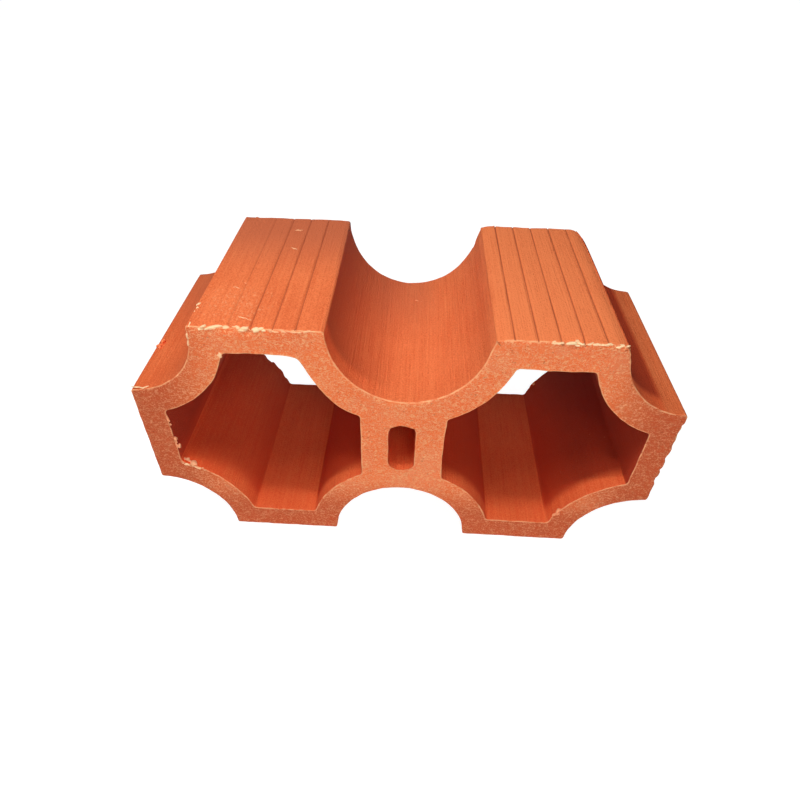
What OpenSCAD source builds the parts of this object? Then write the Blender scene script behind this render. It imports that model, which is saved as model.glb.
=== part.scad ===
// Terracotta breeze block: one extruded, wire-cut and fired piece of two cells side by side.
// The section lies in the X-Z plane and runs along Y. The origin is the middle of the base.
// Rounds cut from every cell corner make full circles where the blocks are laid in a wall.

/* [Block] */
// Width across both cells
block_w = 200; // [170:1:260]
// Height between the bed faces
block_h = 100; // [85:1:140]
// Length between the two cut faces
block_l = 90; // [40:1:180]

/* [Rounds and walls] */
// Radius of the half-round troughs and of the quarter-round corner notches
round_r = 27.5; // [20:0.5:33]
// Thickness of the wall around each cell
wall_t = 11; // [7:0.5:14]
// Thickness of the web between the two cells
web_t = 33; // [26:0.5:46]

/* [Slot through the web] */
// Width of the slot
slot_w = 10; // [8.5:0.5:14]
// Height of the slot
slot_h = 23; // [14:0.5:32]
// Radius of the slot's corners
slot_r = 4; // [1:0.5:4.5]

/* [Edges] */
// Rounding where a flat outer face meets a round
edge_r = 1.5; // [0.5:0.1:3]
// Fillet in the corners of each cell
cell_fillet_r = 1.5; // [0.5:0.1:3]

/* [Score lines on the upper bed faces] */
// Distance between neighbouring score lines
score_pitch = 7.5; // [5:0.1:12]
// Least distance from a bed face's edge to its first score line
score_margin = 7; // [4:0.1:10]
// Width of a score line at the face
score_w = 0.8; // [0.4:0.1:2]
// Depth of a score line
score_d = 0.7; // [0.3:0.1:1.5]

/* [Hidden] */
$fn = 96;
// How far every cut reaches past the face that it opens
cut_over = 2;
// Depth of a fillet's centre under the faces that it joins, as a share of its radius:
// just under 1, so that the arc crosses both faces instead of only touching them
fillet_depth_share = 0.995;
// Half sizes, which place the rounds on the cell corners
half_w = block_w / 2;
half_h = block_h / 2;
// Radius of the clay that bulges into a cell, concentric with the round outside it
bulge_r = round_r + wall_t;
// Width of one bed face between its two rounds, and the score lines that fit on it
bed_w = half_w - 2 * round_r;
score_count = floor((bed_w - 2 * score_margin) / score_pitch) + 1;

terracotta = [0.80, 0.40, 0.24];

// Draws its children in all four quarters of the section
module in_each_quarter() {
    for (across = [0, 1], over = [0, 1])
        mirror([across, 0]) mirror([0, over]) children();
}

// Corner between a round, centred here, and a flat face that lies drop below the centre:
// what is left of the corner outside the fillet that joins the two, on the +X side
module corner_sliver(arc_r, drop, fillet_r) {
    depth = fillet_r * fillet_depth_share;
    centre = [sqrt(pow(arc_r + depth, 2) - pow(drop + depth, 2)), -drop - depth];
    inside_share = (arc_r - cut_over) / (arc_r + depth);
    inside = centre * inside_share;
    difference() {
        polygon([
            inside,
            [inside.x, cut_over - drop],
            [centre.x, cut_over - drop],
            centre
        ]);
        translate(centre) circle(r = fillet_r);
    }
}

// Outline with a trough above and below the web and a notch on each outer corner
module outer_section() {
    difference() {
        square([block_w, block_h], center = true);
        in_each_quarter() translate([half_w, half_h]) {
            circle(r = round_r);
            mirror([1, 0]) corner_sliver(round_r, 0, edge_r);
            rotate(-90) corner_sliver(round_r, 0, edge_r);
        }
        for (over = [0, 1]) mirror([0, over]) translate([0, half_h]) circle(r = round_r);
        in_each_quarter() translate([0, half_h]) corner_sliver(round_r, 0, edge_r);
    }
}

// One cell, on the +X side of the web
module cell_section() {
    cell_w = half_w - wall_t - web_t / 2;
    cell_h = block_h - 2 * wall_t;
    difference() {
        translate([web_t / 2, -cell_h / 2]) square([cell_w, cell_h]);
        for (over = [0, 1]) mirror([0, over]) {
            translate([half_w, half_h]) {
                circle(r = bulge_r);
                mirror([1, 0]) corner_sliver(bulge_r, wall_t, cell_fillet_r);
                rotate(-90) corner_sliver(bulge_r, wall_t, cell_fillet_r);
            }
            translate([0, half_h]) {
                circle(r = bulge_r);
                corner_sliver(bulge_r, wall_t, cell_fillet_r);
                mirror([1, 1]) corner_sliver(bulge_r, web_t / 2, cell_fillet_r);
            }
        }
    }
}

// Slot with rounded corners in the middle of the web
module slot_section() {
    depth = slot_r * fillet_depth_share;
    difference() {
        square([slot_w, slot_h], center = true);
        in_each_quarter() translate([slot_w / 2 - depth, slot_h / 2 - depth]) difference() {
            square(depth + cut_over);
            circle(r = slot_r);
        }
    }
}

// V-shaped score lines, centred on the upper bed face of the +X cell
module score_section() {
    for (i = [0 : score_count - 1])
        translate([half_w / 2 + (i - (score_count - 1) / 2) * score_pitch, half_h])
            polygon([
                [-score_w / 2, cut_over],
                [-score_w / 2, 0],
                [0, -score_d],
                [score_w / 2, 0],
                [score_w / 2, cut_over]
            ]);
}

module block() {
    color(terracotta)
        translate([0, 0, half_h]) rotate([90, 0, 0]) linear_extrude(height = block_l, center = true)
            difference() {
                outer_section();
                for (side = [0, 1]) mirror([side, 0]) {
                    cell_section();
                    score_section();
                }
                slot_section();
            }
}

block();
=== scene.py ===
import math
import random

import bmesh
import bpy
from mathutils import Matrix, Vector, geometry, noise


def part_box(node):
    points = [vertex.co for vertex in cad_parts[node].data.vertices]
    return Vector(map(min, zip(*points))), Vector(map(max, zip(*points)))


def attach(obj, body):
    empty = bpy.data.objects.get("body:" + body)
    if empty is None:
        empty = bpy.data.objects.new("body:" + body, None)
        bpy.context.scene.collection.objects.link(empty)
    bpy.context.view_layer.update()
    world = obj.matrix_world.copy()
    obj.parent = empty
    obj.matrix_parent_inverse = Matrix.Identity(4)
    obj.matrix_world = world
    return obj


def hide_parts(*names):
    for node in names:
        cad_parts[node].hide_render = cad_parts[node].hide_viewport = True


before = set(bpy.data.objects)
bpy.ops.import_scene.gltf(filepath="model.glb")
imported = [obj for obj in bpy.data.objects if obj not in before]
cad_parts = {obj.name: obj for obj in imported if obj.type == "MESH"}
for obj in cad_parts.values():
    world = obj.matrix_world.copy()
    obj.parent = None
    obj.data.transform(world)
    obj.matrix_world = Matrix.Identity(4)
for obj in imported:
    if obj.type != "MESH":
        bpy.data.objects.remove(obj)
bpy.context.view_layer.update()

MM = 0.001

# Sizes of the block, from the frame
LOW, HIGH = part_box("block")
HALF_W = (HIGH.x - LOW.x) / 2
HEIGHT = HIGH.z - LOW.z
HALF_H = HEIGHT / 2
LENGTH = HIGH.y - LOW.y

# Sizes of its section, as the source draws it
ROUND_R = 27.5 * MM
WALL_T = 11 * MM
WEB_T = 33 * MM
SLOT_W = 10 * MM
SLOT_H = 23 * MM
SLOT_R = 4 * MM
EDGE_R = 1.5 * MM
CELL_FILLET_R = 1.5 * MM
SCORE_COUNT = 5
SCORE_PITCH = 7.5 * MM
SCORE_W = 0.8 * MM
SCORE_D = 0.7 * MM
BULGE_R = ROUND_R + WALL_T
CELL_HALF_W = (HALF_W - WALL_T - WEB_T / 2) / 2
CELL_MID = WEB_T / 2 + CELL_HALF_W

# Mesh of the block: step along the section, rows across a wall, stations along the length, share of the
# trough's foot that is bridged to the flat of the web, reach of a merge, and step for finding a slope
GRID = 0.6 * MM
FILLET_STEPS = 4
WALL_ROWS = 20
STATIONS = 16
STATION_POWER = 2.35
FOOT_SHARE = 0.72
MERGE_REACH = 0.01 * MM
SLOPE_STEP = 0.05 * MM

# Wear that the photograph shows: rough cut faces with ragged and lipped edges, and slightly wavy drawn faces
ARRIS_R = 0.3 * MM
CUT_SKIN = 0.3 * MM
RAG_REACH = 2.2 * MM
LIP_REACH = 0.8 * MM
FACE_WAVE = 0.12 * MM
FACE_WAVE_SIZE = 9 * MM
FACE_WAVE_STRETCH = 8

# Relief of a cut face: size of each pattern, and its share of the face's skin
WIRE_DRAG_SIZE = 2.2 * MM
WIRE_DRAG_STRETCH = 4
WIRE_DRAG_SHARE = 0.25
TORN_SIZE = 1.3 * MM
TORN_STRETCH = 1.8
TORN_SHARE = 0.35
BROAD_SIZE = 24 * MM
BROAD_SHARE = 0.3
LIP_SIZE = 5 * MM
LIP_MEAN = 0.6
LIP_SWING = 0.6
LIP_SHARE = 0.8
WORN_EDGE_SHARE = 0.7
LEAST_SKIN_SHARE = 0.05

# Rag of a cut edge in two sizes, and the scallops in the right side's front edge
FINE_RAG = 0.12 * MM
FINE_RAG_SIZE = 3 * MM
BROAD_RAG = 0.15 * MM
BROAD_RAG_SIZE = 7 * MM
SCALLOP_DEPTH = 0.7 * MM
SCALLOP_SIZE = 4.6 * MM
SCALLOP_WIDTH_SHARE = 0.3
SCALLOP_REACH = 1 * MM

# Score lines drift to the left, and those furthest left are worn faint or away. The bed's edges stay still.
SCORE_DRIFT_LEFT = -2.2 * MM
SCORE_DRIFT_RIGHT = -0.7 * MM
FAINT_SCORES_FROM = -54 * MM
FAINT_SCORE_SHARE = 0.4
NO_SCORES_FROM = -62 * MM
LOST_SCORE_SHARE = 0.05
SCORE_PATCH_SIZE = 14 * MM
SCORE_MEAN = 0.8
SCORE_SWING = 0.35
BED_EDGE_STILL = 3 * MM
BED_EDGE_BLEND = 4 * MM

# The right bed face has softer edges than the left one, most on its right and at the back
SOFT_EDGE_REACH = 3.0 * MM
SOFT_LEFT_DEPTH = 0.9 * MM
SOFT_RIGHT_DEPTH = 1.5 * MM
SOFT_BACK_DEPTH = 1.8 * MM
SOFT_BACK_REACH = 6 * MM

# Where shrinkage has pulled the section out of true: middle, reach across and up, and shift, in millimetres
WARPS = (
    # Left bed face is a little wider towards the notch
    ((-72.5, 100.0), (9, 9), (-1.3, 0.0)),
    # Slot and the right side of the web sit to the left
    ((0.0, 50.0), (10, 22), (-0.9, 0.0)),
    ((16.5, 50.0), (9, 20), (-1.0, 0.0)),
    # Left cell has a higher roof, a thicker wall under the trough and a rounder corner between the two
    ((-50.0, 89.5), (14, 5), (0.0, 0.9)),
    ((-24.0, 68.0), (8, 8), (-0.7, -0.7)),
    ((-37.0, 88.8), (2.2, 2.2), (-0.6, -0.5)),
    # Right cell has a lower roof
    ((50.0, 89.5), (14, 6), (0.0, -0.6)),
)

# Chips in the cut edges, each a ball that has bitten into the clay: its middle and its radius in millimetres
CHIPS = (
    # Right cell's far edge, low on the outer side
    ((67.6, 46.2, 17.6), 3.4),
    # Left cell's far edge, a wavy stretch on the outer side
    ((-72.2, 46.2, 26.6), 3.0),
    ((-68.9, 46.2, 21.6), 2.6),
    ((-65.4, 46.2, 16.2), 2.8),
    # Trough's far edge, two nicks on the right side
    ((25.2, 46.0, 91.8), 2.5),
    ((15.0, 46.0, 79.4), 2.3),
    # Notch just under the front corner of the right bed face
    ((73.7, -45.8, 95.2), 2.0),
    # Front edge of the left cell, torn on the outer side
    ((-88.2, -46.2, 58.0), 1.7),
    ((-88.4, -46.2, 51.5), 1.6),
    ((-88.1, -46.3, 40.5), 1.8),
)
CHIP_ROUGH_SHARE = 0.12
CHIP_ROUGH_SIZE = 1.4 * MM

# Crumbs and smears that the wire left on the clay: a row's two ends in millimetres,
# the number of crumbs, their half length along the row, their half thickness and their paleness
CRUMB_ROWS = (
    # Front edge of the left bed face
    ((-68.5, -44.3, 99.1), (-61.0, -43.4, 99.3), 14, 1.3, 0.5, 0.8),
    ((-60.5, -43.4, 99.3), (-53.0, -44.2, 99.1), 11, 1.2, 0.45, 0.75),
    ((-51.3, -44.2, 99.2), (-47.6, -44.0, 99.3), 5, 1.1, 0.5, 0.85),
    ((-46.5, -44.7, 99.3), (-31.0, -44.7, 99.3), 12, 1.0, 0.3, 0.5),
    # Corner of the left bed face, back along the flat and down the notch
    ((-72.6, -30.0, 99.4), (-72.4, -43.5, 99.4), 9, 1.3, 0.4, 0.8),
    ((-73.0, -44.4, 97.6), (-74.1, -44.4, 91.5), 6, 1.1, 0.4, 0.7),
    # Front edge of the right bed face
    ((44.8, -44.6, 99.4), (50.0, -44.5, 99.4), 6, 1.0, 0.35, 0.8),
    ((51.2, -44.6, 99.4), (56.0, -44.5, 99.3), 6, 1.0, 0.45, 0.9),
    ((58.5, -44.6, 99.3), (71.0, -44.5, 99.2), 10, 1.2, 0.4, 0.8),
    ((51.6, -43.6, 99.2), (55.0, -43.2, 99.2), 5, 0.9, 0.45, 0.7),
    # Flap at the far edge of the right cell
    ((66.4, 43.2, 19.6), (69.0, 43.2, 17.0), 5, 1.2, 0.6, 0.6),
    # Burr on the front edge of the right cell's lower bulge
    ((64.9, -44.4, 15.3), (67.2, -44.4, 19.0), 5, 1.0, 0.5, 0.3),
    # Burr that hangs in the upper left corner of the left cell
    ((-64.2, -44.4, 89.3), (-63.6, -44.3, 87.9), 4, 0.8, 0.6, 0.7),
    # Flakes on the outer front edge of the left cell
    ((-89.4, -44.6, 62.5), (-89.2, -44.6, 54.5), 6, 0.9, 0.4, 0.35),
    ((-89.0, -44.5, 48.5), (-88.6, -44.5, 43.5), 5, 1.0, 0.5, 0.4),
    # Lump on the lower left bulge of the left cell, and the burr beside it
    ((-88.3, -43.4, 36.4), (-84.6, -43.4, 35.6), 5, 1.3, 0.8, 0.45),
    ((-90.0, -44.7, 36.0), (-80.5, -44.7, 32.6), 9, 1.1, 0.35, 0.8),
    # Lump stuck on the left side's upper edge
    ((-98.6, -17.5, 72.1), (-97.4, -13.0, 72.3), 6, 1.6, 0.75, 0.1),
    # Pale mark on the front corner of the left notch
    ((-99.0, -43.8, 72.8), (-94.0, -43.9, 73.2), 5, 1.2, 0.2, 0.9),
    # Smears on the left bed face
    ((-49.4, 32.2, 99.9), (-46.4, 32.6, 99.9), 3, 0.9, 0.18, 0.5),
    ((-48.2, 15.6, 99.9), (-45.6, 14.2, 99.9), 4, 1.0, 0.2, 0.7),
    ((-60.2, -14.6, 99.9), (-58.8, -14.9, 99.9), 2, 0.7, 0.18, 0.6),
    ((-63.6, -18.0, 99.9), (-61.8, -18.2, 99.9), 3, 0.8, 0.18, 0.6),
    ((-57.5, -37.5, 99.9), (-53.0, -39.5, 99.9), 5, 1.1, 0.2, 0.6),
    # Smear on the floor of the trough
    ((2.4, 27.8, 72.6), (4.8, 26.6, 72.8), 3, 0.9, 0.18, 0.3),
)
CRUMB_SEED = 7
# How crumbs differ: place in their stretch of the row, width and size as shares, turn in radians, and lumps
CRUMB_PLACES = (0.1, 0.9)
CRUMB_WIDTHS = (0.7, 1.5)
CRUMB_SIZES = (0.6, 1.2)
CRUMB_TURN = 0.5
CRUMB_LUMP_SHARE = 0.5
CRUMB_LUMP_SIZE = 0.9 * MM

# Clay under the thick crumbs is worn down, so that they lie on it and not in it
THICK_CRUMB_MM = 0.45
CRUMB_BED_DEPTH = 0.5 * MM
CRUMB_BED_REACH = 2.4 * MM

# Depth of painted shade on the drawn faces, where the cells and rounds get little light. A face above 1 is
# shaded up to its front edge.
CELL_SHADE_DEPTH = 0.05
BULGE_SHADE_DEPTH = 1
WALL_SHADE_DEPTH = 2
SLOT_SHADE_DEPTH = 0.3
TROUGH_SHADE_DEPTH = 0.75
NOTCH_SHADOW_DEPTH = 1
# Left cell's outer lower bulge has less painted shade, most at its foot by the floor
PALE_BULGE_SHADE_DEPTH = 0.8
LEAST_BULGE_SHADE_DEPTH = 0.1
# Painted shadow band in the right notch, cast by the edge of the bed face above it, from the side face
# inwards, as shares of the round's radius
NOTCH_SHADOW_START_SHARE = 0.25
NOTCH_SHADOW_RISE_SHARE = 0.1
# Vertices this close to a face lie on it, and those this close to a bed face get no painted shade
ON_FACE = 0.1 * MM
AT_BED = 0.5 * MM

# Paleness of a worn edge low on a cut face, where 1 is that of the others. The upper edges are paler as
# painted highlight where they face the light from above.
LOW_RIM_PALENESS = 0.25

# Spans in millimetres along an axis, over which the drawn clay goes from one tone to the next
RIGHT_BED_X = (22, 34)
UPPER_BED_Z = (92, 98)
LEFT_NOTCH_X = (-68, -78)
DULL_X = (15, 0)
DULL_Y = (-15, 35)
DULL_Z = (68, 76)
# Spans of the painted shade: in the cells, in the rounds, and behind the lit front edge
CELLS_Z = (72, 68)
ROUNDS_Z = (70, 75)
BEHIND_FRONT_Y = (-40, -34)
# Spans of the darkest painted shade, on the right outer part and in the left cell's upper left
DARKEST_SHADE_RIGHT_X = (58, 78)
DARKEST_SHADE_LEFT_X = (-60, -72)
DARKEST_SHADE_LEFT_Z = (36, 46)
# How much lighter or deeper the clay is there, how far the other colours cover it,
# and the depth of painted shade from which a face is wholly redder
RIGHT_BED_LIFT = 0.5
LEFT_NOTCH_LIFT = -0.3
DULL_COVER = 0.9
DRAWN_SHADE_COVER = 0.85
WHOLLY_REDDER_SHADE_DEPTH = 0.9

# Drag lines of the drawn clay: scale of the pattern on each axis, which draws it out along the length,
# size of the lines, and what they add to the tone and the relief
DRAG_SCALE = (1, 0.02, 1)
FINE_DRAG_MM = 0.6
BROAD_DRAG_MM = 3.5
FINE_DRAG_TONE = 0.9
BROAD_DRAG_TONE = 0.3
FINE_DRAG_RELIEF = 0.8

# Scuffed area on the left bed face: its middle, reach and core, scale and size of the pattern,
# what the core adds to the pattern, the part of the pattern that shows, and how far that covers the clay
SCUFF_PLACE_MM = (-60, -30, 100)
SCUFF_REACH_MM = 24
SCUFF_CORE_SHARE = 0.2
SCUFF_SCALE = (1, 0.5, 1)
SCUFF_SIZE_MM = 0.7
SCUFF_CROWD = 0.16
SCUFF_SPAN = (0.66, 0.90)
SCUFF_COVER = 0.5

# Spans in millimetres along an axis, over which the cut clay gets dusty and takes painted shade low down and
# at the outer sides, and the pattern of the dust, in the terms of the scuffs
DUSTY_Z = (40, 24)
SHADED_LOW_Z = (34, 12)
SHADED_OUTER_X = (62, 92)
DUST_PATCH_MM = 14
DUST_CROWD = 0.16
DUST_SPAN = (0.48, 0.72)
DUST_COVER = 0.4
CUT_SHADE_COVER = 0.95

# Fibres and pits of the cut clay: the fibres are pale partly as painted highlight on their ridges, and the
# pits are darkened with painted shade. Fewer fibres show where the lower and outer parts carry painted shade.
FIBRE_SCALE = (0.75, 1, 1.1)
LONG_FIBRE_MM = 1.4
LONG_FIBRE_WIDTH = 0.06
SHORT_FIBRE_MM = 0.85
SHORT_FIBRE_WIDTH = 0.07
FIBRE_CURL = 0.9
FIBRE_PIECE_SHARE = 0.7
FIBRE_PIECE_SPAN = (0.46, 0.56)
FIBRE_COVER = 0.95
SHADED_FIBRE_COVER = 0.5
FIBRE_RELIEF = 0.4
PIT_SIZE_MM = 0.9
PIT_SPAN = (0.30, 0.22)
PIT_COVER = 0.35
PIT_RELIEF = -0.6

# Clay's own grain and patches with their strengths, the pale line on worn edges that is partly painted
# highlight, matt finish and relief
GRAIN_MM = 0.55
PATCH_MM = 22
DRAWN_PATCH = 0.5
DRAWN_GRAIN = 1.9
CUT_PATCH = 0.5
CUT_GRAIN = 1.6
CRUMB_PATCH = 0.4
CRUMB_GRAIN = 0.8
RIM_PATCH_MM = 3.2
RIM_SPAN = (0.30, 0.62)
DRAWN_RIM_COVER = 0.75
CUT_RIM_COVER = 0.8
CLAY_ROUGHNESS = 0.88
CLAY_SHINE = 0.25
DRAWN_RELIEF_MM = 0.45
CUT_RELIEF_MM = 0.2
CRUMB_RELIEF_MM = 0.15

# Colours of the clay, linear: of the drawn faces, the painted shade in the cells and rounds, the cut faces
# with painted shade on their lower and outer parts, and loose clay. The pale colour is partly painted
# highlight, and the last is painted shade in pits and score lines.
DRAWN_DEEP = (0.74, 0.125, 0.032, 1)
DRAWN_LIGHT = (1.0, 0.255, 0.084, 1)
DRAWN_DULL = (0.62, 0.145, 0.058, 1)
SHADED_RED_DEEP = (0.86, 0.100, 0.022, 1)
SHADED_RED_LIGHT = (1.0, 0.205, 0.060, 1)
CELL_SHADE_COLOR = (0.70, 0.058, 0.011, 1)
ROUND_SHADE_COLOR = (0.42, 0.072, 0.020, 1)
DARKEST_SHADE_COLOR = (0.42, 0.030, 0.006, 1)
CUT_DEEP = (0.86, 0.12, 0.030, 1)
CUT_LIGHT = (1.0, 0.27, 0.085, 1)
CUT_SHADE_COLOR = (0.56, 0.085, 0.024, 1)
CUT_DUSTY = (0.90, 0.27, 0.12, 1)
PALE_CLAY_AND_HIGHLIGHT = (1.0, 0.50, 0.24, 1)
CRUMB_PALE = (1.0, 0.76, 0.44, 1)
RECESS_SHADE_DARK = (0.30, 0.05, 0.016, 1)

# Camera that was fitted to the photograph's edges
PHOTO_LENS_MM = 26.18
PHOTO_SHIFT = (0.0169, 0.0924)
CAMERA_PLACE = (0.20 * MM, -208.66 * MM, 202.44 * MM)
CAMERA_TURN_DEG = (44.53, -0.90, 3.18)
CAMERA_NEAR = 0.01
SENSOR_WIDTH_MM = 36

# Studio light: each soft box has its place and its width and height in metres, and its power in watts
LIGHT_AIM = Vector((0, 0, 0.05))
SOFT_BOXES = (
    ("key_above_left", (-0.12, -0.093, 0.40), (0.25, 0.012), 0.64),
    ("key_far_left", (-0.28, -0.100, 0.45), (0.15, 0.012), 0.14),
    ("key_above_right", (-0.02, -0.100, 0.45), (0.15, 0.012), 0.42),
    ("fill_front_low", (0.0, -0.65, 0.03), (0.30, 0.03), 0.95),
    ("fill_back", (0.0, 0.65, 0.08), (0.30, 0.10), 0.70),
    ("fill_front_right", (0.25, -0.45, 0.02), (0.15, 0.03), 0.10),
    ("fill_front_high", (0.10, -0.60, 0.50), (0.30, 0.20), 1.15),
)

# White floor and room: half size of the floor, its gap under the block, and what they give as light
FLOOR_HALF_SIZE = 4
FLOOR_GAP = 0.1 * MM
FLOOR_PALE = (0.92, 0.92, 0.92, 1)
FLOOR_SHADE = (0.25, 0.25, 0.25, 1)
FLOOR_GLOW = 0.96
FLOOR_FADE = (0.10, 0.35)
ROOM_GLOW = 0.04


class SectionPen:
    """Draws one quarter of the section on the front cut plane, as runs of edges.

    A point is given by its distance from the middle of the block and its depth under the bed face.
    """

    def __init__(self, bm, upper, across, depth):
        self.bm = bm
        self.upper = upper
        self.tip = bmesh.ops.create_vert(bm, co=self.place(across, depth))["vert"][0]

    def place(self, across, depth):
        """Turns a point of the section into its place in the frame."""
        height = HEIGHT - depth if self.upper else depth
        return Vector((across, LOW.y, LOW.z + height))

    def mark(self, layer, value):
        """Marks the newest point on a vertex layer. The points drawn after it take the mark over."""
        self.tip[layer] = value

    def line(self, across, depth, steps=None):
        """Draws a straight run to a point and returns its edges."""
        start = self.tip.co.copy()
        goal = self.place(across, depth)
        steps = steps or grid_steps((goal - start).length)
        run = []
        for step in range(steps):
            made = bmesh.ops.extrude_vert_indiv(self.bm, verts=[self.tip])
            self.tip = made["verts"][0]
            self.tip.co = start.lerp(goal, (step + 1) / steps)
            run += made["edges"]
        return run

    def arc(self, across, depth, turn, steps=None):
        """Draws an arc about a centre, with turn counted from across to depth, and returns its edges."""
        known = set(self.bm.edges)
        centre = self.place(across, depth)
        steps = steps or grid_steps((self.tip.co - centre).length * abs(turn))
        made = bmesh.ops.spin(
            self.bm, geom=[self.tip], cent=centre, axis=(0, 1, 0),
            angle=turn if self.upper else -turn, steps=steps,
        )
        self.tip = made["geom_last"][0]
        return [edge for edge in self.bm.edges if edge not in known]


def grid_steps(length):
    """Number of mesh steps in a run of this length."""
    return max(1, round(length / GRID))


def fillet_touch(arc_r, drop, fillet_r):
    """Reach of a fillet's centre from a round's, and its angle, where a flat lies drop below the round."""
    reach = math.sqrt((arc_r + fillet_r) ** 2 - (drop + fillet_r) ** 2)
    return reach, math.asin((drop + fillet_r) / (arc_r + fillet_r))


def bridge(bm, outer, inner):
    """Fills the wall between a run of the outside and the run of the cell behind it."""
    bmesh.ops.bridge_loops(bm, edges=outer + inner)
    return outer + inner


def draw_bed(pen, end, scored):
    """Draws a bed face up to end, with its score lines as V-shaped grooves."""
    groove = pen.bm.verts.layers.float["groove"]
    run = []
    if scored:
        for index in range(SCORE_COUNT):
            middle = HALF_W / 2 + (index - (SCORE_COUNT - 1) / 2) * SCORE_PITCH
            run += pen.line(middle - SCORE_W / 2, 0)
            run += pen.line(middle, SCORE_D, 1)
            pen.mark(groove, 1)
            run += pen.line(middle + SCORE_W / 2, 0, 1)
            pen.mark(groove, 0)
    return run + pen.line(end, 0)


def draw_quarter(bm, upper):
    """Draws a quarter of the section with the wall filled in, and returns the edges of its outlines."""
    edge_reach, edge_angle = fillet_touch(ROUND_R, 0, EDGE_R)
    cell_reach, cell_angle = fillet_touch(BULGE_R, WALL_T, CELL_FILLET_R)
    web_reach, web_angle = fillet_touch(BULGE_R, WEB_T / 2, CELL_FILLET_R)
    right = math.pi / 2
    foot_angle = web_angle * FOOT_SHARE
    slot_top = HALF_H - SLOT_H / 2
    outer = SectionPen(bm, upper, SLOT_W / 2, HALF_H)
    cell = SectionPen(bm, upper, WEB_T / 2, HALF_H)
    drawn = []

    # Slot, middle of the web and foot of the trough, against the flat of the web
    run = outer.line(SLOT_W / 2, slot_top + SLOT_R)
    run += outer.arc(SLOT_W / 2 - SLOT_R, slot_top + SLOT_R, -right)
    run += outer.line(0, slot_top)
    run += outer.line(0, ROUND_R)
    run += outer.arc(0, 0, -foot_angle)
    drawn += bridge(bm, run, cell.line(WEB_T / 2, web_reach, len(run)))

    # Side of the trough, against the web's fillet and the bulge under the trough
    run = outer.arc(0, 0, foot_angle - web_angle)
    drawn += bridge(bm, run, cell.arc(WEB_T / 2 + CELL_FILLET_R, web_reach, right - web_angle, len(run)))
    run = outer.arc(0, 0, web_angle + edge_angle - right)
    drawn += bridge(bm, run, cell.arc(0, 0, web_angle + cell_angle - right, len(run)))

    # Bed face between its two rounded edges
    run = outer.arc(edge_reach, EDGE_R, right - edge_angle, FILLET_STEPS)
    cell_turn = right - cell_angle
    drawn += bridge(bm, run, cell.arc(cell_reach, WALL_T + CELL_FILLET_R, cell_turn, FILLET_STEPS))
    run = draw_bed(outer, HALF_W - edge_reach, scored=upper)
    drawn += bridge(bm, run, cell.line(HALF_W - cell_reach, WALL_T, len(run)))
    run = outer.arc(HALF_W - edge_reach, EDGE_R, right - edge_angle, FILLET_STEPS)
    inner = cell.arc(HALF_W - cell_reach, WALL_T + CELL_FILLET_R, cell_turn, FILLET_STEPS)
    drawn += bridge(bm, run, inner)

    # Corner notch, its edge and half of the side face
    run = outer.arc(HALF_W, 0, 2 * edge_angle - right)
    drawn += bridge(bm, run, cell.arc(HALF_W, 0, 2 * cell_angle - right, len(run)))
    run = outer.arc(HALF_W - EDGE_R, edge_reach, right - edge_angle, FILLET_STEPS)
    inner = cell.arc(HALF_W - WALL_T - CELL_FILLET_R, cell_reach, cell_turn, FILLET_STEPS)
    drawn += bridge(bm, run, inner)
    run = outer.line(HALF_W, HALF_H)
    drawn += bridge(bm, run, cell.line(HALF_W - WALL_T, HALF_H, len(run)))
    return drawn


def clay_depths(x, z):
    """Depths of a point of the section behind the outside, the nearest cell and the slot."""
    across = abs(x)
    bed = min(z - LOW.z, HIGH.z - z)
    trough = math.hypot(across, bed)
    corner = math.hypot(HALF_W - across, bed)
    outside = min(HALF_W - across, bed, trough - ROUND_R, corner - ROUND_R)
    cell = max(abs(across - CELL_MID) - CELL_HALF_W, WALL_T - bed, BULGE_R - trough, BULGE_R - corner)
    slot_x = across - SLOT_W / 2 + SLOT_R
    slot_z = abs(z - HALF_H) - SLOT_H / 2 + SLOT_R
    slot = math.hypot(max(slot_x, 0), max(slot_z, 0)) + min(max(slot_x, slot_z), 0) - SLOT_R
    return outside, cell, slot


def inward(x, z):
    """Direction in the section from the nearest drawn face into the clay."""
    slope_x = min(clay_depths(x + SLOPE_STEP, z)) - min(clay_depths(x - SLOPE_STEP, z))
    slope_z = min(clay_depths(x, z + SLOPE_STEP)) - min(clay_depths(x, z - SLOPE_STEP))
    slope = Vector((slope_x, 0, slope_z))
    return slope.normalized() if slope.length > 0 else slope


def spread_station(y):
    """Moves an evenly spaced station along the length, so that stations crowd towards the cut faces."""
    share = 1 - abs(y) / (LENGTH / 2)
    return math.copysign(LENGTH / 2 * (1 - share ** STATION_POWER), y)


def ripple(size, x, y, z):
    """Smooth noise between -1 and 1 with features of about this size, in metres."""
    return noise.noise(Vector((x, y, z)) / size)


def cut_relief(x, z, side, depths):
    """Depth of the rough cut face under its plane: wire drag, torn grain and a lip at the holes."""
    outside, cell, slot = depths
    drag = ripple(WIRE_DRAG_SIZE, x / WIRE_DRAG_STRETCH, side, z)
    torn = ripple(TORN_SIZE, x / TORN_STRETCH, side, z)
    broad = ripple(BROAD_SIZE, x, side, z)
    worn_edge = math.exp(-max(outside, 0) / LIP_REACH)
    uneven = LIP_MEAN + LIP_SWING * ripple(LIP_SIZE, x, side, z)
    lip = math.exp(-max(min(cell, slot), 0) / LIP_REACH) * uneven
    depth = 1 + BROAD_SHARE * broad + WIRE_DRAG_SHARE * drag + TORN_SHARE * torn
    depth += WORN_EDGE_SHARE * worn_edge - LIP_SHARE * lip
    return CUT_SKIN * max(depth, LEAST_SKIN_SHARE)


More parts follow.
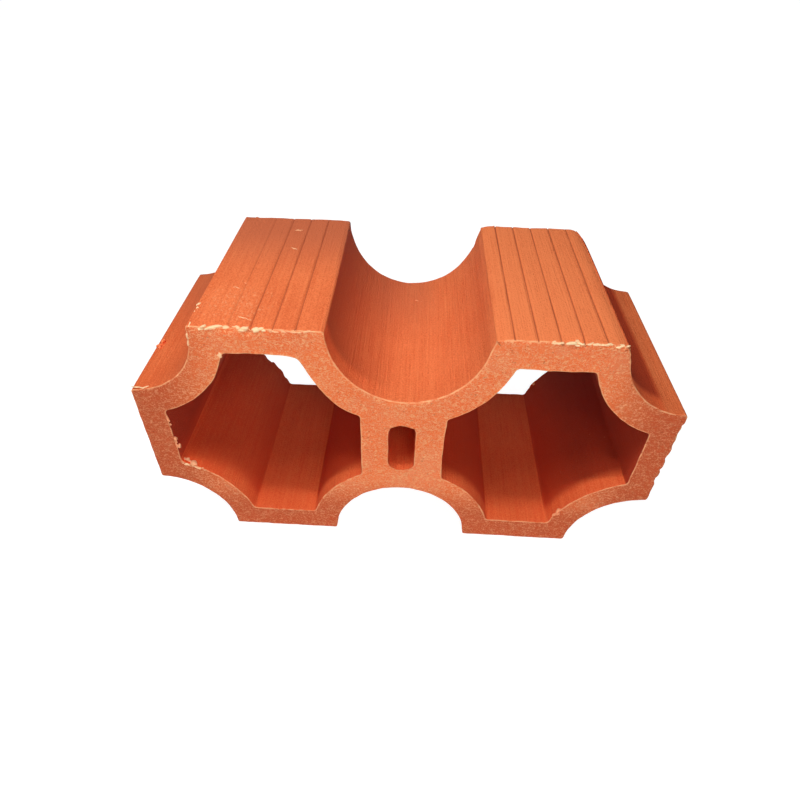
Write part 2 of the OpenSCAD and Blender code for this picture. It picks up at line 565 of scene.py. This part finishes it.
def edge_rag(x, z, side):
    """How far a cut edge is torn back into the clay."""
    fine = FINE_RAG * (1 + ripple(FINE_RAG_SIZE, x, side, z))
    broad = BROAD_RAG * ripple(BROAD_RAG_SIZE, x, side * 3, z)
    rag = max(0, fine + broad)
    on_right_side = side < 0 and x > HALF_W - SCALLOP_REACH
    if on_right_side:
        scallop = abs(ripple(SCALLOP_SIZE, x, side * 2, z))
        rag += SCALLOP_DEPTH * max(0, 1 - scallop / SCALLOP_WIDTH_SHARE)
    return rag


def drift_score(vert, groove):
    """Moves a vertex near a scored bed face with its score lines, and fills the lines that are worn away."""
    x, y, z = vert.co
    depth = HIGH.z - z
    from_edge = HALF_W / 4 - abs(abs(x) - HALF_W / 2)
    bed_share = min(max((from_edge - BED_EDGE_STILL) / BED_EDGE_BLEND, 0), 1)
    drift = SCORE_DRIFT_LEFT if x < 0 else SCORE_DRIFT_RIGHT
    vert.co.x += drift * bed_share * max(0, 1 - depth / (WALL_T / 2))
    at_foot_of_line = vert[groove] > 0.99
    if at_foot_of_line:
        left_share = 1
        if x < NO_SCORES_FROM:
            left_share = LOST_SCORE_SHARE
        elif x < FAINT_SCORES_FROM:
            left_share = FAINT_SCORE_SHARE
        patchy = SCORE_MEAN + SCORE_SWING * ripple(SCORE_PATCH_SIZE, x * 3, y, z)
        vert[groove] = min(left_share * patchy, 1)
        vert.co.z = HIGH.z - SCORE_D * vert[groove]


def warp(vert):
    """Shifts a vertex with the warped section."""
    shift = Vector()
    for (middle_x, middle_z), (reach_x, reach_z), (shift_x, shift_z) in WARPS:
        across = (vert.co.x / MM - middle_x) / reach_x
        up = (vert.co.z / MM - middle_z) / reach_z
        shift += Vector((shift_x, 0, shift_z)) * MM * math.exp(-across ** 2 - up ** 2)
    vert.co += shift


def soft_edge(x, y, z):
    """Extra rounding of the two edges of the right bed face."""
    if x < 0:
        return 0
    left = math.hypot(x - ROUND_R, z - HIGH.z) / SOFT_EDGE_REACH
    right = math.hypot(x - HALF_W + ROUND_R, z - HIGH.z) / SOFT_EDGE_REACH
    right_depth = SOFT_RIGHT_DEPTH + SOFT_BACK_DEPTH * math.exp((y - HIGH.y) / SOFT_BACK_REACH)
    return SOFT_LEFT_DEPTH * math.exp(-left ** 2) + right_depth * math.exp(-right ** 2)


def keep_in_box(vert):
    """Keeps a vertex inside the CAD box."""
    vert.co = [min(max(vert.co[axis], LOW[axis]), HIGH[axis]) for axis in range(3)]


def move_into_box(bm, verts):
    """Moves a lump that juts out of the CAD box back inside, whole."""
    shift = Vector()
    for axis in range(3):
        below = LOW[axis] - min(vert.co[axis] for vert in verts)
        above = max(vert.co[axis] for vert in verts) - HIGH[axis]
        shift[axis] = max(below, 0) - max(above, 0)
    bmesh.ops.translate(bm, verts=verts, vec=shift)


def make_room_for_crumbs(vert):
    """Wears the clay down under the thick crumbs, so that they lie on it and not in it."""
    for start, end, count, length, thickness, paleness in CRUMB_ROWS:
        start, end = Vector(start) * MM, Vector(end) * MM
        reach = (vert.co - (start + end) / 2).length
        if thickness < THICK_CRUMB_MM or reach > (end - start).length / 2 + CRUMB_BED_REACH:
            continue
        share = geometry.intersect_point_line(vert.co, start, end)[1]
        nearest = start.lerp(end, min(max(share, 0), 1))
        depth = CRUMB_BED_DEPTH * max(0, 1 - (vert.co - nearest).length / CRUMB_BED_REACH)
        vert.co += Vector((0, depth, -depth))


def chip(vert):
    """Moves a vertex that lies in one of the chips out to the chip's ball."""
    for middle, radius in CHIPS:
        middle = Vector(middle) * MM
        offset = vert.co - middle
        reach = radius * MM * (1 + CHIP_ROUGH_SHARE * ripple(CHIP_ROUGH_SIZE, *vert.co))
        if offset.length < reach:
            vert.co = middle + offset.normalized() * reach


def rim_paleness(x, z):
    """How pale the worn edge of a cut face is: most at holes and upper edges, least at the lower edges. Part
    of the paleness is painted highlight on the edges that face up to the light.
    """
    outside, cell, slot = clay_depths(x, z)
    at_lower_edge = outside < min(cell, slot) and z < HALF_H
    return LOW_RIM_PALENESS if at_lower_edge else 1


def cell_shade_depth(x, z, bed):
    """Depth of painted shade on a face of a cell: least on floor, roof and web, most on side wall and upper
    bulges, which face away from the light.
    """
    plain = abs(bed - WALL_T) < ON_FACE or abs(abs(x) - WEB_T / 2) < ON_FACE
    on_pale_bulge = x < -CELL_MID and bed < BULGE_R and z < HALF_H
    on_side_wall = bed > BULGE_R - EDGE_R
    if plain:
        return CELL_SHADE_DEPTH
    if on_pale_bulge:
        return max(PALE_BULGE_SHADE_DEPTH * (1 - (bed - WALL_T) / ROUND_R), LEAST_BULGE_SHADE_DEPTH)
    return WALL_SHADE_DEPTH if on_side_wall or z > HALF_H else BULGE_SHADE_DEPTH


def painted_shade_depth(x, z):
    """How much painted shade a drawn face gets, for the little light that reaches it.

    Outside, only the faces of the upper rounds that look to the right get it: a painted shadow band in the
    right notch, and painted shade on the trough's left side.
    """
    outside, cell, slot = clay_depths(x, z)
    bed = min(z - LOW.z, HIGH.z - z)
    if cell < EDGE_R / 2:
        return cell_shade_depth(x, z, bed)
    if slot < ON_FACE:
        return SLOT_SHADE_DEPTH
    in_upper_round = abs(outside) < ON_FACE and z > HALF_H and bed > AT_BED
    if in_upper_round and x > HALF_W - ROUND_R:
        into_band = max((HALF_W - x) / ROUND_R - NOTCH_SHADOW_START_SHARE, 0)
        return NOTCH_SHADOW_DEPTH * min(into_band / NOTCH_SHADOW_RISE_SHARE, 1)
    if in_upper_round and abs(x) < ROUND_R:
        return TROUGH_SHADE_DEPTH * max(-x, 0) / ROUND_R
    return 0


def wear(vert):
    """Moves a vertex of the plain block to where wear has left it."""
    x, y, z = vert.co
    side = math.copysign(1, y)
    run = LENGTH / 2 - abs(y)
    depths = clay_depths(x, z)
    depth = max(min(depths), 0)
    edge_share = math.exp(-(run + depth) / RAG_REACH)
    into_clay = inward(x, z)
    uneven = 1 + ripple(FACE_WAVE_SIZE, x, y / FACE_WAVE_STRETCH, z)
    wave = FACE_WAVE * uneven * math.exp(-depth / LIP_REACH)
    vert.co += into_clay * (edge_rag(x, z, side) * edge_share + wave + soft_edge(x, y, z))
    vert.co.y -= side * cut_relief(x, z, side, depths) * math.exp(-run / RAG_REACH)


def build_block():
    """Makes the fired block as one closed mesh: section, mirror, extrusion, and then its wear."""
    bm = bmesh.new()
    groove = bm.verts.layers.float.new("groove")
    arris = bm.verts.layers.float.new("arris")
    painted_shade = bm.verts.layers.float.new("painted_shade")
    drawn = set(draw_quarter(bm, upper=True) + draw_quarter(bm, upper=False))
    across_wall = [edge for edge in bm.edges if edge not in drawn]
    bmesh.ops.subdivide_edges(bm, edges=across_wall, cuts=WALL_ROWS - 1, use_grid_fill=True)
    bmesh.ops.remove_doubles(bm, verts=bm.verts, dist=MERGE_REACH)
    everything = bm.verts[:] + bm.edges[:] + bm.faces[:]
    bmesh.ops.mirror(bm, geom=everything, matrix=Matrix(), merge_dist=MERGE_REACH, axis="X")
    grown = bmesh.ops.extrude_face_region(bm, geom=bm.faces[:])
    back = [part for part in grown["geom"] if isinstance(part, bmesh.types.BMVert)]
    bmesh.ops.translate(bm, verts=back, vec=(0, LENGTH, 0))
    lengthwise = [edge for edge in bm.edges if edge.calc_length() > LENGTH / 2]
    bmesh.ops.subdivide_edges(bm, edges=lengthwise, cuts=STATIONS - 1, use_grid_fill=True)
    bmesh.ops.recalc_face_normals(bm, faces=bm.faces)
    for vert in bm.verts:
        vert.co.y = spread_station(vert.co.y)
    bm.normal_update()
    for face in bm.faces:
        face.smooth = True
        is_cut = abs(face.normal.y) > 0.9
        face.material_index = 1 if is_cut else 0
    rims = [edge for edge in bm.edges if len({face.material_index for face in edge.link_faces}) > 1]
    rounded = bmesh.ops.bevel(
        bm, geom=rims, offset=ARRIS_R, offset_type="OFFSET", segments=2, profile=0.5,
        affect="EDGES", material=-1,
    )
    for vert in bm.verts:
        vert[arris] = 0
    # Pale worn edges, paler on the upper edges as painted highlight
    for vert in rounded["verts"]:
        vert[arris] = rim_paleness(vert.co.x, vert.co.z)
    # Each vertex carries its depth of painted shade, and then takes its wear
    for vert in bm.verts:
        vert[painted_shade] = painted_shade_depth(vert.co.x, vert.co.z)
        drift_score(vert, groove)
        wear(vert)
        make_room_for_crumbs(vert)
        chip(vert)
        warp(vert)
        keep_in_box(vert)
    return add_piece("fired_block", bm)


def build_crumbs():
    """Makes the crumbs, smears and burrs as one piece of small uneven lumps half sunk in the clay."""
    spread = random.Random(CRUMB_SEED)
    bm = bmesh.new()
    pale = bm.verts.layers.float.new("pale")
    for start, end, count, length, thickness, paleness in CRUMB_ROWS:
        start, end = Vector(start) * MM, Vector(end) * MM
        along = (end - start).to_track_quat("X", "Z").to_matrix().to_4x4()
        for index in range(count):
            share = (index + spread.uniform(*CRUMB_PLACES)) / count
            stray = Vector([spread.uniform(-1, 1) for axis in range(3)]) * thickness * MM
            middle = start.lerp(end, share) + stray
            half = Vector((length, thickness * spread.uniform(*CRUMB_WIDTHS), thickness))
            half *= MM * spread.uniform(*CRUMB_SIZES)
            turn = Matrix.Rotation(spread.uniform(-CRUMB_TURN, CRUMB_TURN), 4, "Z")
            shape = Matrix.Translation(middle) @ along @ turn @ Matrix.Diagonal(half).to_4x4()
            made = bmesh.ops.create_icosphere(bm, subdivisions=2, radius=1, matrix=shape)
            for vert in made["verts"]:
                lump = 1 + CRUMB_LUMP_SHARE * ripple(CRUMB_LUMP_SIZE, *vert.co)
                vert.co = middle + (vert.co - middle) * lump
                vert[pale] = paleness
            move_into_box(bm, made["verts"])
    for face in bm.faces:
        face.smooth = True
    return add_piece("clay_crumbs", bm)


def add_piece(name, bm):
    """Puts a finished mesh into the scene as a piece of this name."""
    mesh = bpy.data.meshes.new(name)
    bm.to_mesh(mesh)
    bm.free()
    piece = bpy.data.objects.new(name, mesh)
    bpy.context.scene.collection.objects.link(piece)
    return piece


def add_node(tree, kind, inputs=None, **settings):
    """Adds a node, sets it up and feeds its inputs with values or with other nodes' outputs."""
    node = tree.nodes.new(kind)
    for name, value in settings.items():
        setattr(node, name, value)
    for socket, value in (inputs or {}).items():
        if isinstance(value, bpy.types.NodeSocket):
            tree.links.new(value, node.inputs[socket])
        else:
            node.inputs[socket].default_value = value
    return node


def calc(tree, operation, first, second=0.0, third=0.0):
    """Adds a sum of two or three values and returns its result."""
    inputs = {0: first, 1: second, 2: third}
    return add_node(tree, "ShaderNodeMath", inputs, operation=operation).outputs[0]


def vary(tree, total, pattern, strength):
    """Adds a pattern between 0 and 1 to a total, counted from the pattern's middle."""
    from_middle = calc(tree, "SUBTRACT", pattern, 0.5)
    return calc(tree, "MULTIPLY_ADD", from_middle, strength, total)


def fade(tree, value, start, end):
    """Turns a value into a smooth step from 0 at start to 1 at end."""
    inputs = {"Value": value, "From Min": start, "From Max": end}
    return add_node(tree, "ShaderNodeMapRange", inputs, interpolation_type="SMOOTHSTEP").outputs[0]


def grain(tree, vector, size_mm, detail=2.0, distortion=0.0):
    """Noise between 0 and 1 with features of about this size."""
    inputs = {"Vector": vector, "Scale": 1 / size_mm, "Detail": detail, "Distortion": distortion}
    return add_node(tree, "ShaderNodeTexNoise", inputs).outputs["Fac"]


def blend(tree, share, first, second):
    """Blends two colours by a share."""
    inputs = {0: share, 6: first, 7: second}
    return add_node(tree, "ShaderNodeMix", inputs, data_type="RGBA").outputs[2]


def stretched(tree, scale_per_mm):
    """Place on the piece in millimetres, with each axis scaled."""
    coord = add_node(tree, "ShaderNodeTexCoord").outputs["Object"]
    scale = [share / MM for share in scale_per_mm]
    return add_node(tree, "ShaderNodeMapping", {"Vector": coord, "Scale": scale}).outputs[0]


def new_group(name, inputs, outputs):
    """Starts a node group with named inputs and outputs, and returns its tree and the two ends."""
    tree = bpy.data.node_groups.new(name, "ShaderNodeTree")
    for socket, kind in inputs.items():
        tree.interface.new_socket(socket, in_out="INPUT", socket_type=kind)
    for socket, kind in outputs.items():
        tree.interface.new_socket(socket, in_out="OUTPUT", socket_type=kind)
    return tree, add_node(tree, "NodeGroupInput").outputs, add_node(tree, "NodeGroupOutput").inputs


def make_clay_body():
    """Group with the clay's own unevenness: broad patches from the fire and a fine grain."""
    tree, given, result = new_group(
        "clay_body",
        {"Vector": "NodeSocketVector", "Patch": "NodeSocketFloat", "Grain": "NodeSocketFloat"},
        {"Tone": "NodeSocketFloat", "Height": "NodeSocketFloat"},
    )
    fine = grain(tree, given["Vector"], GRAIN_MM, detail=3.0)
    tone = vary(tree, 0.5, grain(tree, given["Vector"], PATCH_MM), given["Patch"])
    tone = vary(tree, tone, fine, given["Grain"])
    tree.links.new(tone, result["Tone"])
    tree.links.new(fine, result["Height"])
    return tree


def make_worn_arris_and_highlight():
    """Group with the pale, broken line along a worn edge, partly wear and partly painted highlight."""
    tree, given, result = new_group(
        "worn_arris_and_highlight",
        {"Vector": "NodeSocketVector", "Arris": "NodeSocketFloat"},
        {"Mask": "NodeSocketFloat"},
    )
    broken = fade(tree, grain(tree, given["Vector"], RIM_PATCH_MM), *RIM_SPAN)
    tree.links.new(calc(tree, "MULTIPLY", given["Arris"], broken), result["Mask"])
    return tree


def fibre_lines(tree, vector, size_mm, width):
    """Thin curled lines, where a warped noise passes its middle, broken into short pieces."""
    from_middle = calc(tree, "SUBTRACT", grain(tree, vector, size_mm, distortion=FIBRE_CURL), 0.5)
    line = fade(tree, calc(tree, "ABSOLUTE", from_middle), width, 0.0)
    piece = fade(tree, grain(tree, vector, size_mm * FIBRE_PIECE_SHARE, detail=1.0), *FIBRE_PIECE_SPAN)
    return calc(tree, "MULTIPLY", line, piece)


def start_material(name, groups_used):
    """Starts a matt material and returns it with its tree, its shader and one node for each group."""
    material = bpy.data.materials.new(name)
    material.use_nodes = True
    tree = material.node_tree
    shader = tree.nodes["Principled BSDF"]
    shader.inputs["Roughness"].default_value = CLAY_ROUGHNESS
    shader.inputs["Specular IOR Level"].default_value = CLAY_SHINE
    placed = [add_node(tree, "ShaderNodeGroup", node_tree=group) for group in groups_used]
    return material, tree, shader, placed


def finish_material(tree, shader, color, height, relief_mm):
    """Feeds the shader with a colour and a relief."""
    tree.links.new(color, shader.inputs["Base Color"])
    bump = add_node(tree, "ShaderNodeBump", {"Height": height, "Distance": relief_mm * MM, "Strength": 1.0})
    tree.links.new(bump.outputs[0], shader.inputs["Normal"])


def attribute(tree, name):
    """Value that the mesh carries on its vertices under this name."""
    return add_node(tree, "ShaderNodeAttribute", attribute_name=name).outputs["Fac"]


def fade_both(tree, first, first_span, second, second_span):
    """Smooth step that is 1 only where both values have passed their spans."""
    return calc(tree, "MULTIPLY", fade(tree, first, *first_span), fade(tree, second, *second_span))


def make_drawn_clay(clay_body, worn_arris_and_highlight):
    """Clay drawn through the die: drag lines along the length, scuffs, score lines darkened with painted
    shade, and painted shade in the cells and rounds.
    """
    material, tree, shader, (body, rim) = start_material("drawn_clay", (clay_body, worn_arris_and_highlight))
    place = stretched(tree, (1, 1, 1))
    lengthwise = stretched(tree, DRAG_SCALE)
    tree.links.new(place, body.inputs["Vector"])
    body.inputs["Patch"].default_value = DRAWN_PATCH
    body.inputs["Grain"].default_value = DRAWN_GRAIN
    fine_drag = grain(tree, lengthwise, FINE_DRAG_MM, detail=3.0)
    broad_drag = grain(tree, lengthwise, BROAD_DRAG_MM)
    tone = vary(tree, body.outputs["Tone"], fine_drag, FINE_DRAG_TONE)
    tone = vary(tree, tone, broad_drag, BROAD_DRAG_TONE)

    # Lighter right bed face, deeper left notch, and duller clay at the left back
    axes = add_node(tree, "ShaderNodeSeparateXYZ", {0: place}).outputs
    on_right_bed = fade_both(tree, axes["X"], RIGHT_BED_X, axes["Z"], UPPER_BED_Z)
    in_left_notch = fade(tree, axes["X"], *LEFT_NOTCH_X)
    tone = calc(tree, "MULTIPLY_ADD", on_right_bed, RIGHT_BED_LIFT, tone)
    tone = calc(tree, "MULTIPLY_ADD", in_left_notch, LEFT_NOTCH_LIFT, tone)
    color = blend(tree, tone, DRAWN_DEEP, DRAWN_LIGHT)
    on_left_back = fade_both(tree, axes["X"], DULL_X, axes["Y"], DULL_Y)
    dull = calc(tree, "MULTIPLY", on_left_back, fade(tree, axes["Z"], *DULL_Z))
    color = blend(tree, calc(tree, "MULTIPLY", dull, DULL_COVER), color, DRAWN_DULL)

    # Painted shade: redder colour inside the cells and on the shaded faces
    shade_depth = attribute(tree, "painted_shade")
    in_cell = fade_both(tree, shade_depth, (0, CELL_SHADE_DEPTH), axes["Z"], CELLS_Z)
    redder = calc(tree, "MAXIMUM", in_cell, fade(tree, shade_depth, 0, WHOLLY_REDDER_SHADE_DEPTH))
    color = blend(tree, redder, color, blend(tree, tone, SHADED_RED_DEEP, SHADED_RED_LIGHT))

    # Deeper painted shade on the walls of the cells and in the rounds. Only the most shaded faces have it at
    # the front; the others stay lit there, where the light reaches in.
    inside = fade(tree, axes["Y"], *BEHIND_FRONT_Y)
    inside = calc(tree, "MAXIMUM", inside, calc(tree, "SUBTRACT", shade_depth, 1))
    painted_shade = calc(tree, "MULTIPLY", calc(tree, "MINIMUM", shade_depth, 1), inside)
    shade_color = blend(tree, fade(tree, axes["Z"], *ROUNDS_Z), CELL_SHADE_COLOR, ROUND_SHADE_COLOR)
    # Darkest painted shade on the right outer part and in the left cell's upper left
    upper_left = fade_both(tree, axes["X"], DARKEST_SHADE_LEFT_X, axes["Z"], DARKEST_SHADE_LEFT_Z)
    darkest_shade = calc(tree, "MAXIMUM", fade(tree, axes["X"], *DARKEST_SHADE_RIGHT_X), upper_left)
    shade_color = blend(tree, darkest_shade, shade_color, DARKEST_SHADE_COLOR)
    color = blend(tree, calc(tree, "MULTIPLY", painted_shade, DRAWN_SHADE_COVER), color, shade_color)

    # Scuffs, thickest on the left bed face
    offset = add_node(tree, "ShaderNodeVectorMath", {0: place, 1: SCUFF_PLACE_MM}, operation="DISTANCE")
    near = fade(tree, offset.outputs["Value"], SCUFF_REACH_MM, SCUFF_REACH_MM * SCUFF_CORE_SHARE)
    rubs = grain(tree, stretched(tree, SCUFF_SCALE), SCUFF_SIZE_MM, detail=4.0)
    rubbed = calc(tree, "MULTIPLY_ADD", near, SCUFF_CROWD, rubs)
    scuff = calc(tree, "MULTIPLY", fade(tree, rubbed, *SCUFF_SPAN), SCUFF_COVER)
    color = blend(tree, scuff, color, PALE_CLAY_AND_HIGHLIGHT)

    # Score lines darkened with painted shade, and worn edges pale partly with painted highlight
    color = blend(tree, attribute(tree, "groove"), color, RECESS_SHADE_DARK)
    tree.links.new(place, rim.inputs["Vector"])
    tree.links.new(attribute(tree, "arris"), rim.inputs["Arris"])
    color = blend(tree, calc(tree, "MULTIPLY", rim.outputs["Mask"], DRAWN_RIM_COVER), color, PALE_CLAY_AND_HIGHLIGHT)
    height = vary(tree, body.outputs["Height"], fine_drag, FINE_DRAG_RELIEF)
    finish_material(tree, shader, color, height, DRAWN_RELIEF_MM)
    return material


def make_cut_clay(clay_body, worn_arris_and_highlight):
    """Clay cut by the wire: torn fibres pale partly with painted highlight, small pits darkened with painted
    shade, a dusty lower part, and painted shade on the lower and outer parts.
    """
    material, tree, shader, (body, rim) = start_material("cut_clay", (clay_body, worn_arris_and_highlight))
    place = stretched(tree, (1, 1, 1))
    drawn_out = stretched(tree, FIBRE_SCALE)
    tree.links.new(place, body.inputs["Vector"])
    body.inputs["Patch"].default_value = CUT_PATCH
    body.inputs["Grain"].default_value = CUT_GRAIN
    color = blend(tree, body.outputs["Tone"], CUT_DEEP, CUT_LIGHT)

    # Dust, most on the lower part
    axes = add_node(tree, "ShaderNodeSeparateXYZ", {0: place}).outputs
    low = fade(tree, axes["Z"], *DUSTY_Z)
    dusty = calc(tree, "MULTIPLY_ADD", low, DUST_CROWD, grain(tree, place, DUST_PATCH_MM))
    dust = calc(tree, "MULTIPLY", fade(tree, dusty, *DUST_SPAN), DUST_COVER)
    color = blend(tree, dust, color, CUT_DUSTY)

    # Painted shade on the lower and the outer parts, where less light falls
    outer = fade(tree, calc(tree, "ABSOLUTE", axes["X"]), *SHADED_OUTER_X)
    cut_shade = calc(tree, "MAXIMUM", fade(tree, axes["Z"], *SHADED_LOW_Z), outer)
    color = blend(tree, calc(tree, "MULTIPLY", cut_shade, CUT_SHADE_COVER), color, CUT_SHADE_COLOR)

    # Fibres in two sizes, pale partly with painted highlight and fewer where there is painted shade, and pits
    # darkened with painted shade
    long_fibres = fibre_lines(tree, drawn_out, LONG_FIBRE_MM, LONG_FIBRE_WIDTH)
    short_fibres = fibre_lines(tree, drawn_out, SHORT_FIBRE_MM, SHORT_FIBRE_WIDTH)
    fibres = calc(tree, "MAXIMUM", long_fibres, short_fibres)
    cover = calc(tree, "MULTIPLY_ADD", cut_shade, SHADED_FIBRE_COVER - FIBRE_COVER, FIBRE_COVER)
    color = blend(tree, calc(tree, "MULTIPLY", fibres, cover), color, PALE_CLAY_AND_HIGHLIGHT)
    pits = fade(tree, grain(tree, drawn_out, PIT_SIZE_MM, detail=1.0), *PIT_SPAN)
    color = blend(tree, calc(tree, "MULTIPLY", pits, PIT_COVER), color, RECESS_SHADE_DARK)

    # Worn edges, pale partly with painted highlight
    tree.links.new(place, rim.inputs["Vector"])
    tree.links.new(attribute(tree, "arris"), rim.inputs["Arris"])
    color = blend(tree, calc(tree, "MULTIPLY", rim.outputs["Mask"], CUT_RIM_COVER), color, PALE_CLAY_AND_HIGHLIGHT)
    height = calc(tree, "MULTIPLY_ADD", fibres, FIBRE_RELIEF, body.outputs["Height"])
    height = calc(tree, "MULTIPLY_ADD", pits, PIT_RELIEF, height)
    finish_material(tree, shader, color, height, CUT_RELIEF_MM)
    return material


def make_crumb_clay(clay_body):
    """Dry crumbs of clay, pale or in the colour of the block."""
    material, tree, shader, (body,) = start_material("crumb_clay", (clay_body,))
    tree.links.new(stretched(tree, (1, 1, 1)), body.inputs["Vector"])
    body.inputs["Patch"].default_value = CRUMB_PATCH
    body.inputs["Grain"].default_value = CRUMB_GRAIN
    color = blend(tree, body.outputs["Tone"], CUT_DEEP, CUT_LIGHT)
    color = blend(tree, attribute(tree, "pale"), color, CRUMB_PALE)
    finish_material(tree, shader, color, body.outputs["Height"], CRUMB_RELIEF_MM)
    return material


def make_floor_white():
    """White floor: plain white to the camera with a light shadow, and pale ground to the light."""
    material = bpy.data.materials.new("floor_white")
    material.use_nodes = True
    tree = material.node_tree
    tree.nodes.clear()
    ground = add_node(tree, "ShaderNodeBsdfDiffuse", {"Color": FLOOR_PALE})
    shade = add_node(tree, "ShaderNodeBsdfDiffuse", {"Color": FLOOR_SHADE})
    place = add_node(tree, "ShaderNodeTexCoord").outputs["Object"]
    away = add_node(tree, "ShaderNodeVectorMath", {0: place}, operation="LENGTH").outputs["Value"]
    far = fade(tree, away, *FLOOR_FADE)
    strength = calc(tree, "MULTIPLY_ADD", far, 1 - FLOOR_GLOW, FLOOR_GLOW)
    glow = add_node(tree, "ShaderNodeEmission", {"Strength": strength})
    seen = add_node(tree, "ShaderNodeAddShader", {0: shade.outputs[0], 1: glow.outputs[0]})
    to_camera = add_node(tree, "ShaderNodeLightPath").outputs["Is Camera Ray"]
    mixed = add_node(tree, "ShaderNodeMixShader", {0: to_camera, 1: ground.outputs[0], 2: seen.outputs[0]})
    add_node(tree, "ShaderNodeOutputMaterial", {"Surface": mixed.outputs[0]})
    return material


def add_camera():
    """Sets the camera at the photograph's viewing angle."""
    lens = bpy.data.cameras.new("photo_camera")
    lens.lens = PHOTO_LENS_MM
    lens.sensor_width = SENSOR_WIDTH_MM
    lens.sensor_fit = "HORIZONTAL"
    lens.shift_x, lens.shift_y = PHOTO_SHIFT
    lens.clip_start = CAMERA_NEAR
    camera = bpy.data.objects.new("photo_camera", lens)
    camera.location = CAMERA_PLACE
    camera.rotation_euler = [math.radians(turn) for turn in CAMERA_TURN_DEG]
    bpy.context.scene.collection.objects.link(camera)
    bpy.context.scene.camera = camera


def add_floor():
    """Lays the white floor just under the block, as staging."""
    bm = bmesh.new()
    bmesh.ops.create_grid(bm, x_segments=1, y_segments=1, size=FLOOR_HALF_SIZE)
    bmesh.ops.translate(bm, verts=bm.verts, vec=(0, 0, LOW.z - FLOOR_GAP))
    floor = add_piece("floor", bm)
    floor.data.materials.append(make_floor_white())


def add_lights():
    """Lights the block with the soft boxes of a small studio, and a white room for the camera."""
    for name, place, size, watts in SOFT_BOXES:
        light = bpy.data.lights.new(name, "AREA")
        light.shape = "RECTANGLE"
        light.size, light.size_y = size
        light.energy = watts
        box = bpy.data.objects.new(name, light)
        box.location = place
        box.rotation_euler = (Vector(place) - LIGHT_AIM).to_track_quat("Z", "Y").to_euler()
        box.visible_camera = False
        bpy.context.scene.collection.objects.link(box)
    world = bpy.data.worlds.new("studio")
    bpy.context.scene.world = world
    world.use_nodes = True
    tree = world.node_tree
    to_camera = add_node(tree, "ShaderNodeLightPath").outputs["Is Camera Ray"]
    strength = calc(tree, "MULTIPLY_ADD", to_camera, 1 - ROOM_GLOW, ROOM_GLOW)
    background = tree.nodes["Background"]
    background.inputs["Color"].default_value = (1, 1, 1, 1)
    tree.links.new(strength, background.inputs["Strength"])


def dress(piece, *materials):
    """Gives a piece its materials and ties it to the block's frame."""
    for material in materials:
        piece.data.materials.append(material)
    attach(piece, "root")


clay_body = make_clay_body()
worn_arris_and_highlight = make_worn_arris_and_highlight()
block = build_block()
dress(block, make_drawn_clay(clay_body, worn_arris_and_highlight), make_cut_clay(clay_body, worn_arris_and_highlight))
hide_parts("block")
dress(build_crumbs(), make_crumb_clay(clay_body))
add_floor()
add_lights()
add_camera()
bpy.context.scene.view_settings.view_transform = "Standard"
